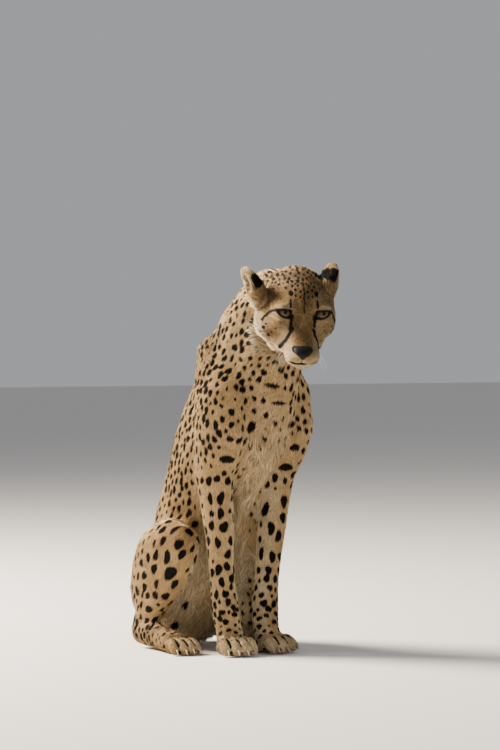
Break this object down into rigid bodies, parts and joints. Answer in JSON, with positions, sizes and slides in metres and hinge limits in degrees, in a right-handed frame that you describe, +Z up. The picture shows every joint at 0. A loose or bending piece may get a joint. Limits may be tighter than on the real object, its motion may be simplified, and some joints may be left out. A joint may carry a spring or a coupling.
{
  "type": "seated cheetah model",
  "caption": "Life-size still model of a spotted cheetah sitting upright on its haunches, forelegs straight, head turned and lowered, tail laid behind on the floor.",
  "frame": {"origin": "on the floor, under the middle of the whole animal", "axes": "+Z up, -Y the way the body faces, -X its right side"},
  "size_m": [0.5646, 1.0278, 0.8016],
  "materials": {
    "coat": "short tawny fur with near-black round spots, paler beneath",
    "nose_leather": "fine-grained moist leather",
    "eye": "glossy amber eye",
    "claw": "horn, paler at the tip"
  },
  "bodies": {
    "root": {"head": "coat", "jaw": "coat", "nose": "nose_leather", "ear_right": "coat", "eye_right": "eye", "ear_left": "coat", "eye_left": "eye", "rump": "coat", "belly": "coat", "chest": "coat", "neck": "coat", "tail_base": "coat", "tail_middle": "coat", "tail_tip": "coat", "fore_paw_right": "coat", "forearm_right": "coat", "shoulder_right": "coat", "fore_claw_right_1": "claw", "fore_claw_right_2": "claw", "fore_claw_right_3": "claw", "fore_claw_right_4": "claw", "thigh_right": "coat", "shank_right": "coat", "metatarsus_right": "coat", "hind_paw_right": "coat", "hind_claw_right_1": "claw", "hind_claw_right_2": "claw", "hind_claw_right_3": "claw", "hind_claw_right_4": "claw", "fore_paw_left": "coat", "forearm_left": "coat", "shoulder_left": "coat", "fore_claw_left_1": "claw", "fore_claw_left_2": "claw", "fore_claw_left_3": "claw", "fore_claw_left_4": "claw", "thigh_left": "coat", "shank_left": "coat", "metatarsus_left": "coat", "hind_paw_left": "coat", "hind_claw_left_1": "claw", "hind_claw_left_2": "claw", "hind_claw_left_3": "claw", "hind_claw_left_4": "claw"}
  },
  "joints": []
}
